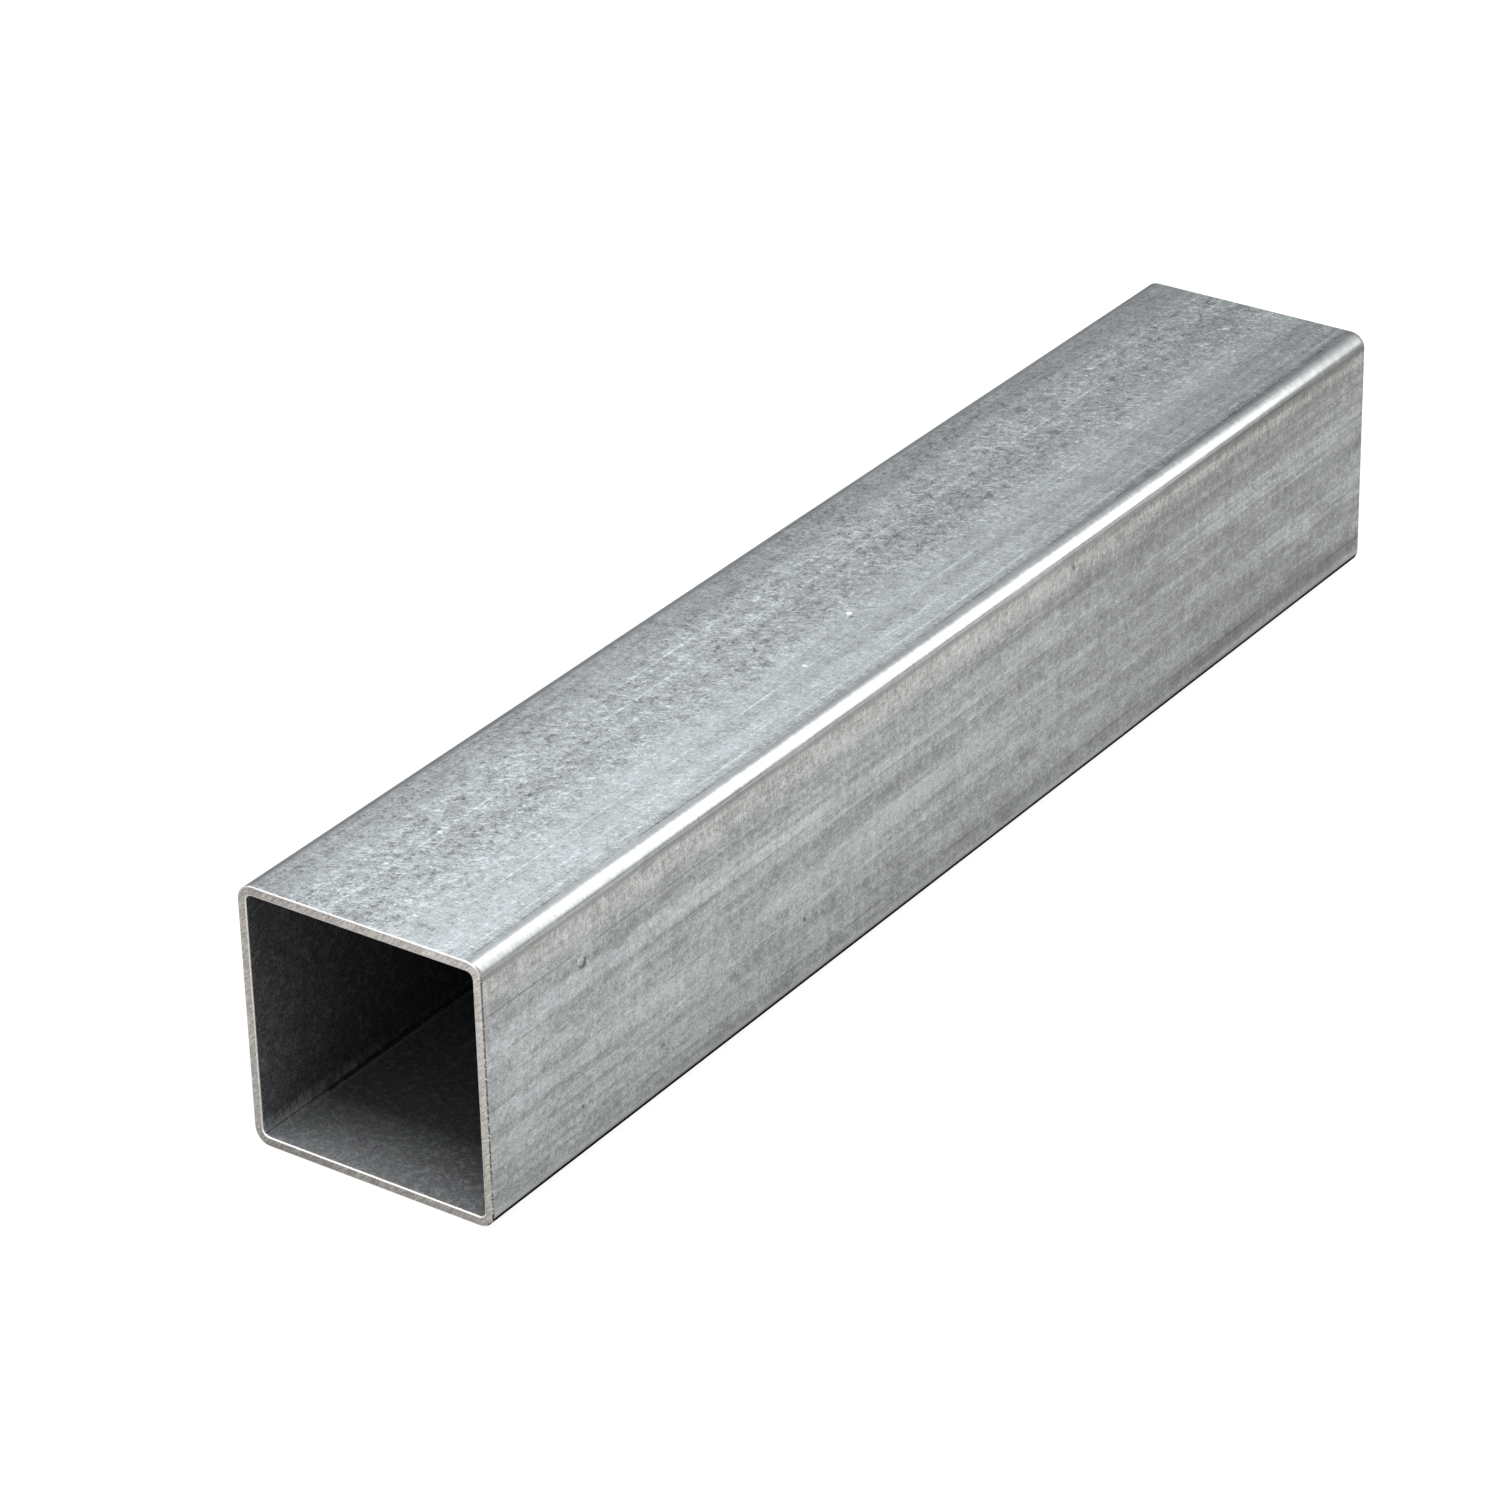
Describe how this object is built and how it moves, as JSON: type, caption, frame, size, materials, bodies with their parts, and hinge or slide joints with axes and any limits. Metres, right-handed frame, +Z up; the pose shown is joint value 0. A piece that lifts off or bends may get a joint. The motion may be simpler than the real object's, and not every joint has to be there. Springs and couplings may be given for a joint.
{
  "type": "square post",
  "caption": "Length of cold-formed, zinc-coated square steel tube with round long bends and two square sawn ends, lying on one flat.",
  "frame": {"origin": "middle of the footprint, on the floor that the lower flat rests on", "axes": "+X along the post from the end nearer the camera to the far one, +Z up, -Y towards the long side that the picture shows"},
  "size_m": [0.4, 0.07, 0.07],
  "materials": {
    "zinc_coated_steel": "hot-dip zinc coating, mottled and lightly scratched along its length; sawn ends bare"
  },
  "bodies": {
    "root": {"post": "zinc_coated_steel"}
  },
  "joints": []
}
